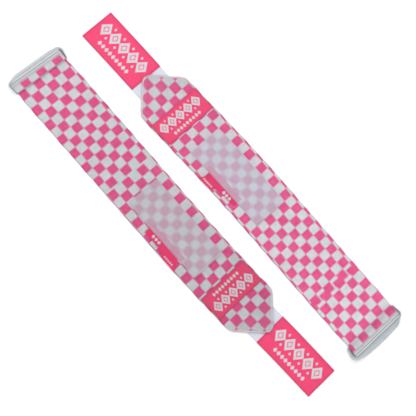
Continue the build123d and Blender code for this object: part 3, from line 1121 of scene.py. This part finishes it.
PATCH_ROUND = 2.4
STITCH_INSET = 3.0
PILE_LOOPS = 15000
PILE_STEP = 0.6
PATCH_SUNK = 0.1  # its middle is this far inside the band, so that its edge lies close
PATCH_STITCHES = (2.1, 0.9, 0.22)  # length, gap and radius
FURROW, FURROW_REACH = 0.4, 0.7  # how deep the stitches pull the pile down, and how far to each side
TUFTS, SWELL = 0.10, 0.12  # how high the pile's tufts and its wide waves are
PILE_INSET, PILE_SUNK = 0.4, 0.25  # how far inside its edges the pile's loops stand, and how deep they start
PILE_REACH, PILE_RISE = (0.35, 0.75), (0.25, 0.65)  # the least and the most half length and height of a loop
PILE_LEAN, PILE_HALF_THREAD = 0.25, 0.055


def patch_parts():
    """The two lengths of the patch, with the number of the line that each bends on."""
    return ((PATCH[0], CUTS[3], 4), (CUTS[3], PATCH[1], 5))


def pile_relief(x, y):
    """The pile's surface: tufted, and drawn down along the line of stitches round it."""
    inset = np.minimum(np.minimum(x - PATCH[0], PATCH[1] - x), PATCH_HALF - np.abs(y))
    furrow = np.exp(-((inset - STITCH_INSET) / FURROW_REACH) ** 2)
    tufts = np.sin(2.9 * x + 1.3 * np.sin(1.7 * y)) * np.sin(3.3 * y + 1.1 * np.sin(1.3 * x))
    swell = SWELL * np.sin(x / 9.0) * np.sin(y / 7.0)
    return TUFTS * tufts - FURROW * furrow + swell


def pile_patch(side):
    """The pile patch and the loops that stand up from it."""
    for number, (start, end, line) in enumerate(patch_parts(), start=1):
        x = np.linspace(start, end, round((end - start) / PILE_STEP) + 1)
        thickness = 2 * (PATCH_TOP - BAND_T)
        path = np.stack([x, np.full(len(x), BAND_T - PATCH_SUNK)], axis=1)
        corner = np.clip(np.minimum(x - PATCH[0], PATCH[1] - x) / PATCH_ROUND, 0, 1)
        width = PATCH_HALF - PATCH_ROUND * (1 - np.sqrt(np.clip(1 - (1 - corner) ** 2, 0, 1)))
        steps = steps_across(PATCH_HALF, PILE_STEP, PATCH_ROUND)
        points, faces, _, flat = ribbon(path, x, width, steps, thickness, PATCH_ROUND, top=pile_relief)
        name = f"pile_patch_{number}"
        made = weld(make_object(side, name, points, faces, [PILE[side]], flat=flat, sharp=60))
        bend(made, side, line)
        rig.replaces(made, f"{side}_pile_patch_{number}", f"{side}_pile_patch_{number + 1}")
        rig.slot(made, "pile")
        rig.sheet(made, flat=((end - start) * MM, 2 * PATCH_HALF * MM), held="laid")
        pile_loops(side, number, start, end, line)


def pile_loops(side, number, start, end, line):
    """The patch's pile: small loops of fine thread, each a bent strip."""
    count = int(PILE_LOOPS * (end - start) / (PATCH[1] - PATCH[0]))
    x = RNG.uniform(start + PILE_INSET, end - PILE_INSET, count)
    y = RNG.uniform(-PATCH_HALF + PILE_INSET, PATCH_HALF - PILE_INSET, count)
    turn = RNG.uniform(0, np.pi, count)
    reach = RNG.uniform(*PILE_REACH, count)
    rise = RNG.uniform(*PILE_RISE, count)
    lean = RNG.normal(0, PILE_LEAN, (count, 2))
    base = PATCH_TOP - PILE_SUNK + pile_relief(x, y)
    direction = np.stack([np.cos(turn), np.sin(turn)], axis=1)
    sideways = np.stack([-direction[:, 1], direction[:, 0]], axis=1)
    points = []
    for t in (-1.0, -0.55, 0.0, 0.55, 1.0):
        arch = 1 - t * t
        middle = np.stack([x, y], axis=1) + direction * (reach * t)[:, None] + lean * arch
        z = base + rise * arch
        for way in (-1, 1):
            points.append(np.column_stack([middle + sideways * PILE_HALF_THREAD * way, z + 0.03 * way]))
    points = np.stack(points, axis=1).reshape(-1, 3)
    first = np.arange(count)[:, None] * 10
    faces = np.concatenate([first + np.array([[k, k + 1, k + 3, k + 2]]) for k in (0, 2, 4, 6)])
    made = make_object(side, f"pile_loops_{number}", points, faces, [PILE[side]], sharp=180)
    bend(made, side, line)
    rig.slot(made, "pile")


def patch_stitch(side):
    """The stitches that hold the patch down, sunk into its pile."""
    inner = (PATCH[0] + STITCH_INSET, PATCH[1] - STITCH_INSET)
    y = PATCH_HALF - STITCH_INSET
    z = PATCH_TOP - FURROW - 0.05
    for number, (start, end, line) in enumerate(patch_parts(), start=1):
        low, high, across = max(start, inner[0]), min(end, inner[1]), inner[number - 1]
        seams = [((low, -y), (high, -y)), ((low, y), (high, y)), ((across, -y), (across, y))]
        meshes = [stitches(dense([(*corner, z) for corner in seam]), *PATCH_STITCHES) for seam in seams]
        made = sewing(side, f"patch_stitch_{number}", joined(*meshes), PALE_THREAD)
        bend(made, side, line)
        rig.replaces(made, f"{side}_patch_stitch_{number}", f"{side}_patch_stitch_{number + 1}")
        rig.slot(made, "pink_thread")


# ---------------------------------------------------------------- the labels

# Rows of diamonds: their pitch, how many stand on each side of the middle one, half a diamond's size along
# the row and across it, and how much of it, from its middle, is left open.
SOLID = -1
BIG = (17.2, 2, 8.7, 10.8, 0.5)
CORES = (17.2, 2, 2.9, 3.9, SOLID)
BETWEEN = (17.2, 1, 1.9, 2.4, SOLID)
SMALL = (6.5, 4, 2.9, 3.7, SOLID)
BIG_ROW, SMALL_ROW = 4.9, -13.7
BAND_MOTIF = 0.8  # the pattern's scale on the band's label
LABEL_STEP = {"band": 0.45, "tab": 0.5}
LABEL_STITCHES = (1.5, 1.2, 0.46)  # length, gap and radius
LABEL_PROUD = 0.10  # how far the threads of its pattern stand out
PUCKER, PUCKER_WAVE, PUCKER_REACH = 0.05, 2.1, 2.5  # its edges are slightly puckered by their stitches
LABEL_START = TIP_X - 2.2  # where the tab's label begins, under the tip
LABEL_OVERLAP = 0.2  # it reaches this far past the tape on both sides
MOTIF_SHIFT = 1.0


def diamonds(p, q, pitch, beside, half_long, half_high, hollow):
    """1 on a row of upright diamonds, centred on p = 0 and q = 0."""
    nearest = np.clip(np.round(p / pitch), -beside, beside)
    size = np.abs(p - nearest * pitch) / half_long + np.abs(q) / half_high
    return (size < 1) & (size > hollow)


def motif(p, q):
    """The woven pattern of the labels: a row of big hollow diamonds with solid cores, little ones where two
    of them meet, and a row of small diamonds below. p runs along the rows and q across them."""
    from_row = q - BIG_ROW
    half_pitch = BIG[0] / 2
    big = diamonds(p, from_row, *BIG) | diamonds(p, from_row, *CORES)
    between = diamonds(np.abs(p) - half_pitch, np.abs(from_row) - half_pitch, *BETWEEN)
    return big | between | diamonds(p, q - SMALL_ROW, *SMALL)


def label_ribbon(x, y_half, bottom, mask, step, edge=0.25):
    """A woven label lying on bottom, with the threads of its pattern standing a little proud."""
    path = np.stack([x, np.full(len(x), bottom + LABEL_T / 2)], axis=1)
    steps = steps_across(y_half, step, edge)

    def relief(flat_x, y):
        near_edge = np.exp(-((y_half - np.abs(y)) / PUCKER_REACH))
        return LABEL_PROUD * mask(flat_x, y) + PUCKER * np.sin(flat_x / PUCKER_WAVE) * near_edge
    points, faces, kinds, flat = ribbon(path, x, y_half, steps, LABEL_T - 0.1, edge, top=relief)
    material = np.zeros(len(faces), int)
    material[kinds == 0] = mask(*flat[faces[kinds == 0]].mean(axis=1).T)
    return points, faces, material, flat


def band_label(side):
    """The woven label across the band, its pattern's top towards the tab, and its border of stitches."""
    middle = sum(BAND_LABEL) / 2
    step = LABEL_STEP["band"]

    def mask(x, y):
        return motif(y / BAND_MOTIF, (x - middle) / BAND_MOTIF)
    x = np.linspace(*BAND_LABEL, round((BAND_LABEL[1] - BAND_LABEL[0]) / step) + 1)
    points, faces, material, flat = label_ribbon(x, BAND_LABEL_HALF, BAND_T + 0.12, mask, step)
    made = weld(make_object(side, "band_label", points, faces, BAND_CLOTH[side], material, flat))
    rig.ride(made, f"{side}_taper_section")
    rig.replaces(made, f"{side}_band_label")
    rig.slot(made, "woven_label")
    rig.sheet(made, flat=((BAND_LABEL[1] - BAND_LABEL[0]) * MM, 2 * BAND_LABEL_HALF * MM), held="laid")
    stitched = border(BAND_LABEL, BAND_LABEL_HALF, 0.9, BAND_T + LABEL_T + 0.1)
    seam = sewing(side, "band_label_stitch", stitched, LABEL_THREAD)
    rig.ride(seam, f"{side}_taper_section")
    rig.replaces(seam, f"{side}_band_label_stitch")
    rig.slot(seam, "pink_thread")


def border(x_range, y_half, inset, z):
    """Stitches round a rectangle, inset from its edges."""
    x0, x1 = x_range[0] + inset, x_range[1] - inset
    y = y_half - inset
    corners = [(x0, -y, z), (x1, -y, z), (x1, y, z), (x0, y, z), (x0, -y, z)]
    return joined(*(stitches(dense(run), *LABEL_STITCHES) for run in zip(corners, corners[1:])))


def peel(made, side):
    """Lets a piece bend up with the tab."""
    start, end = (spot(side, x, TAPE_TOP) for x in (TAB_LINE - TAB_REACH, TAB_LINE + TAB_REACH))
    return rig.blend(made, f"{side}_taper_section", f"{side}_tab", start, end)


def tab(side):
    """The tab: hook tape sewn under the taper, its hooks, and the woven label on top."""
    start = along("hook_tape_root")[0]
    x = np.linspace(start, TAB_END, round(TAB_END - start) + 1)
    path = np.stack([x, np.full(len(x), TAPE_TOP - TAPE_T / 2)], axis=1)
    points, faces, _, flat = ribbon(path, x, TAPE_HALF, steps_across(TAPE_HALF, 1.0, 0.4), TAPE_T, 0.4)
    made = weld(make_object(side, "hook_tape", points, faces, [TAPE], flat=flat))
    peel(made, side)
    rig.replaces(made, f"{side}_hook_tape", f"{side}_hook_tape_root")
    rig.slot(made, "hook_tape")
    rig.sheet(made, flat=((TAB_END - start) * MM, 2 * TAPE_HALF * MM), held="laid")

    middle = (LABEL_START + TAB_END) / 2 + MOTIF_SHIFT
    turned = SIGN[side]  # the pattern isn't mirrored with the wrap
    step = LABEL_STEP["tab"]

    def mask(x, y):
        return motif(turned * (x - middle), y)
    x = np.linspace(LABEL_START, TAB_END + 2 * LABEL_OVERLAP, round((TAB_END - LABEL_START) / step) + 1)
    points, faces, material, flat = label_ribbon(x, TAPE_HALF + LABEL_OVERLAP, TAPE_TOP, mask, step)
    made = weld(make_object(side, "tab_label", points, faces, TAB_CLOTH, material, flat))
    peel(made, side)
    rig.replaces(made, f"{side}_tab_label")
    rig.slot(made, "woven_label")
    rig.sheet(made, flat=((TAB_END - LABEL_START) * MM, 2 * TAPE_HALF * MM), held="laid")
    stitched = border((LABEL_START + 0.6, TAB_END), TAPE_HALF, 0.8, TAPE_TOP + LABEL_T + 0.02)
    seam = sewing(side, "tab_label_stitch", stitched, LABEL_THREAD)
    peel(seam, side)
    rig.replaces(seam, f"{side}_tab_label_stitch")
    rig.slot(seam, "pink_thread")
    hooks(side)


HOOK_PITCH = (1.7, 1.5)
HOOK_SHAPE = np.array([(0, 0, 0.1), (0.02, 0, -0.28), (0.12, 0, -0.56), (0.36, 0, -0.68), (0.55, 0, -0.5)])
HOOK_RADIUS = np.array([0.2, 0.17, 0.14, 0.13, 0.09])
HOOK_START = 7.5  # how far from the line that the tab peels on


def hooks(side):
    """The hooks under the tab: a field of small bent stems."""
    x = np.arange(TAB_LINE + HOOK_START, along("hook_field")[1], HOOK_PITCH[0])
    half = half_across("hook_field")
    y = np.arange(-half, half, HOOK_PITCH[1])
    root = TAPE_TOP - TAPE_T
    paths = []
    for row, at_x in enumerate(x):
        for at_y in y + HOOK_PITCH[1] / 2 * (row % 2):
            way = 1 if row % 4 < 2 else -1
            paths.append(HOOK_SHAPE * (way, 1, 1) + (at_x, at_y, root))
    made = sewing(side, "hooks", tubes(paths, HOOK_RADIUS, sides=4), HOOKS)
    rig.ride(made, f"{side}_tab")
    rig.replaces(made, f"{side}_hook_field")
    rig.slot(made, "hooks")


# ---------------------------------------------------------------- the taper's edge and the flag label

TAPER_START = {"overlock": TAPER_RISE[0] - 3, "seam": TAPER_RISE[0] + 8}
TAPER_OUTER, TAPER_CHAIN, TAPER_SEAM = 0.25, 2.2, 5.0  # how far in from the cut edge each of them runs
TAPER_BIGHT, TAPER_BIGHT_RADIUS, TAPER_CHAIN_RADIUS = 0.8, 0.22, 0.2
TAPER_BIGHT_DOWN, TAPER_BIGHT_UP = 0.55, 0.16  # how far a bight reaches down over the edge, and its arch
TAPER_STITCHES = (2.0, 0.9, 0.2)  # length, gap and radius


def taper_edge(inset, start):
    """A line on the taper's upper face, this far in from its sloping edge, from one shoulder round the tip
    to the other."""
    x = np.linspace(start, TIP_X - 0.2, 90)
    y = band_half(x)
    slant = np.gradient(y, x)
    scale = np.sqrt(1 + slant ** 2)
    line = np.stack([x + inset * slant / scale, y - inset / scale], axis=1)
    line = line[line[:, 1] > 0.3]
    both = np.concatenate([line, (line * (1, -1))[::-1]])
    surface = band_height(both[:, 0]) + KNIT_T / 2
    return np.column_stack([both, surface])


def taper_edging(side):
    """Grey overlock thread along the taper's cut edge, and the stitches that hold the hook tape."""
    outer, inner = (taper_edge(inset, TAPER_START["overlock"]) for inset in (TAPER_OUTER, TAPER_CHAIN))
    run = run_along(outer)
    share = np.linspace(0, 1, len(inner))
    at = np.arange(0, 1, TAPER_BIGHT / run[-1])
    paths = []
    for here, further in zip(at, at[1:]):
        a = [np.interp(here * run[-1], run, outer[:, k]) for k in range(3)]
        b = [np.interp(further, share, inner[:, k]) for k in range(3)]
        a[2] -= TAPER_BIGHT_DOWN
        mid = [(a[0] + b[0]) / 2, (a[1] + b[1]) / 2, b[2] + TAPER_BIGHT_UP]
        b[2] += 0.02
        paths.append(np.array([a, mid, b]))
    bights = tubes(paths, TAPER_BIGHT_RADIUS)
    chain = tubes([inner + (0, 0, 0.1)], TAPER_CHAIN_RADIUS)
    made = sewing(side, "taper_overlock", joined(bights, chain), GREY_THREAD)
    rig.ride(made, f"{side}_taper_section")
    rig.replaces(made, f"{side}_taper_overlock")
    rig.slot(made, "grey_thread")
    stitched = stitches(taper_edge(TAPER_SEAM, TAPER_START["seam"]), *TAPER_STITCHES)
    seam = sewing(side, "taper_stitch", stitched, PALE_THREAD)
    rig.ride(seam, f"{side}_taper_section")
    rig.replaces(seam, f"{side}_taper_stitch")
    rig.slot(seam, "grey_thread")


FLAG_T = 0.7 * (top_of("flag_label") - BAND_T)
FLAG_LIFT, FLAG_FREE = 0.22, 0.25  # how high it lies over the band, and how much higher past the patch
FLAG_RIPPLE, FLAG_CURL = 0.022, 0.0023  # how it ripples and curls up, for each millimetre past the patch
FLAG_TUCK = 2.4  # how far it is tucked in under the patch
FLAG_STRIP = {"right": 8.6, "left": 6.4}  # how far its narrow end reaches past the patch
FLAG_DROP = 14.8  # how far its wide end reaches
FLAG_STEP = (31.0, 41.0)  # from where to where it widens
FLAG_SHORT = {"right": 5.4, "left": 8.2}  # how much shorter it is along the patch than the CAD's label
FLAG_SLANT = {"right": 9.0, "left": 5.0}  # how much further its end reaches at its free edge
FLAG_FILLED = 0.8  # the share of its length and breadth that its outline fills
FLAG_GRID = (123, 34)
FLAG_BEND = (1.0, -3.0)  # from where to where it lets go of the patch, from the patch's edge
FLAG_MARKS = {"right": (17.3, 48.4), "left": (16.4, 46.0)}  # where its two rows of diamonds stand, along it
LARGE, LARGE_ROW = (5.4, 1, 2.5, 2.9, SOLID), -3.6  # each row's shape, and where it is from the patch
LITTLE, LITTLE_ROW = (3.4, 2, 1.4, 1.8, SOLID), -10.6


def flag_label(side):
    """The satin flag label: tucked under the patch's edge, narrow and then wide, its end cut at a slant,
    its free edge curling up."""
    u, v = (np.linspace(0, 1, count) for count in FLAG_GRID)
    u = u[:, None]
    slant = FLAG_SLANT[side]
    root_end = FLAG[1] - FLAG[0] - FLAG_SHORT[side]
    widen = np.clip((u * (root_end + slant) - FLAG_STEP[0]) / (FLAG_STEP[1] - FLAG_STEP[0]), 0, 1)
    drop = FLAG_STRIP[side] + (FLAG_DROP - FLAG_STRIP[side]) * widen
    y = -PATCH_HALF + FLAG_TUCK - v * (drop + FLAG_TUCK)
    past = np.clip(-PATCH_HALF - y, 0, None)
    start = FLAG[0] + FLAG_SHIFT[side]
    x = start + u * (root_end + slant * past / FLAG_DROP)
    ripple = FLAG_RIPPLE * past * np.sin(x / 6.5 + 0.6)
    z = BAND_T + FLAG_LIFT + ripple + FLAG_CURL * past ** 2 + FLAG_FREE * smooth(past / 2)
    points, faces, kinds = shell(*(np.stack([x, y, z + way * FLAG_T / 2], axis=-1) for way in (1, -1)))
    flat = on_both(x, y)
    at_x, at_y = flat[faces[kinds == 0]].mean(axis=1).T
    rows = zip(FLAG_MARKS[side], (LARGE_ROW, LITTLE_ROW), (LARGE, LITTLE))
    marks = [diamonds(at_x - start - mark, at_y + PATCH_HALF - row, *shape) for mark, row, shape in rows]
    cloth = np.zeros(len(faces), int)
    cloth[kinds == 0] = np.any(marks, axis=0)
    made = make_object(side, "flag_label", points, faces, [SATIN, BAND_CLOTH[side][1]], cloth, flat)
    turn_out(made)
    start, end = (spot(side, sum(FLAG) / 2, BAND_T, -PATCH_HALF + inside) for inside in FLAG_BEND)
    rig.blend(made, f"{side}_patch_section", f"{side}_flag", start, end)
    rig.replaces(made, f"{side}_flag_label", f"{side}_flag_label_root")
    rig.slot(made, "label_satin")
    length, across = (root_end + slant) * MM, (FLAG_DROP + FLAG_TUCK) * MM
    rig.sheet(made, flat=(length, across), held="laid", area=FLAG_FILLED * length * across)


# ---------------------------------------------------------------- floor, light and camera

FLOOR_HALF = 4.0  # metres, as everything in this section
PAPER_TONE, PAPER_GRAIN = 0.95, 0.02
SKY_STRENGTH = 1.03
KEY_POWER, KEY_SIZE, KEY_AT = 14.0, 1.2, (-0.9, 0.9, 1.5)
VIEW_WIDTH = 0.553  # what the picture takes in, across, at the height of the wraps
VIEW_CENTRE = (0.0085, -0.0034)
ROLL = 47.9  # degrees
LENS, SENSOR = 85.0, 36.0  # millimetres


def studio():
    """A plain pale floor, soft light from all round with a little more from one side, and the camera."""
    corners = [(x * FLOOR_HALF, y * FLOOR_HALF, 0) for x, y in ((-1, -1), (1, -1), (1, 1), (-1, 1))]
    mesh = bpy.data.meshes.new("floor")
    mesh.from_pydata(corners, [], [(0, 1, 2, 3)])
    floor = bpy.data.objects.new("floor", mesh)
    bpy.context.scene.collection.objects.link(floor)
    paper = Shader("floor_paper", roughness=1.0, specular=0.0)
    paper.here = paper.tree.nodes.new("ShaderNodeTexCoord").outputs["Object"]
    tone = PAPER_TONE + PAPER_GRAIN * paper.noise(40.0)
    mesh.materials.append(paper.finish(paper.vector(tone, tone, tone)))
    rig.stage(floor)

    world = bpy.data.worlds.new("studio")
    bpy.context.scene.world = world
    world.use_nodes = True
    background = world.node_tree.nodes["Background"]
    background.inputs["Color"].default_value = (1.0, 1.0, 1.0, 1.0)
    background.inputs["Strength"].default_value = SKY_STRENGTH

    key = bpy.data.lights.new("key", "AREA")
    key.energy = KEY_POWER
    key.size = KEY_SIZE
    lamp = bpy.data.objects.new("key", key)
    lamp.location = KEY_AT
    lamp.rotation_mode = "QUATERNION"
    lamp.rotation_quaternion = (-Vector(KEY_AT)).to_track_quat("-Z", "Y")
    bpy.context.scene.collection.objects.link(lamp)

    camera = bpy.data.cameras.new("camera")
    camera.lens = LENS
    camera.sensor_width = SENSOR
    eye = bpy.data.objects.new("camera", camera)
    eye.location = (*VIEW_CENTRE, VIEW_WIDTH * LENS / SENSOR + BAND_T * MM)
    eye.rotation_euler = (0.0, 0.0, math.radians(ROLL))
    bpy.context.scene.collection.objects.link(eye)
    bpy.context.scene.camera = eye
    bpy.context.scene.view_settings.view_transform = "Standard"


for wrap in SIGN:
    band_pieces(wrap)
    hem_overlock(wrap)
    thumb_loop(wrap)
    pile_patch(wrap)
    patch_stitch(wrap)
    band_label(wrap)
    tab(wrap)
    taper_edging(wrap)
    flag_label(wrap)
studio()

visual_box = [list(corner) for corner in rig.bounds()]
with open("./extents.json", "w") as size_file:
    json.dump({"cad": CAD_BOX, "visual": visual_box}, size_file)
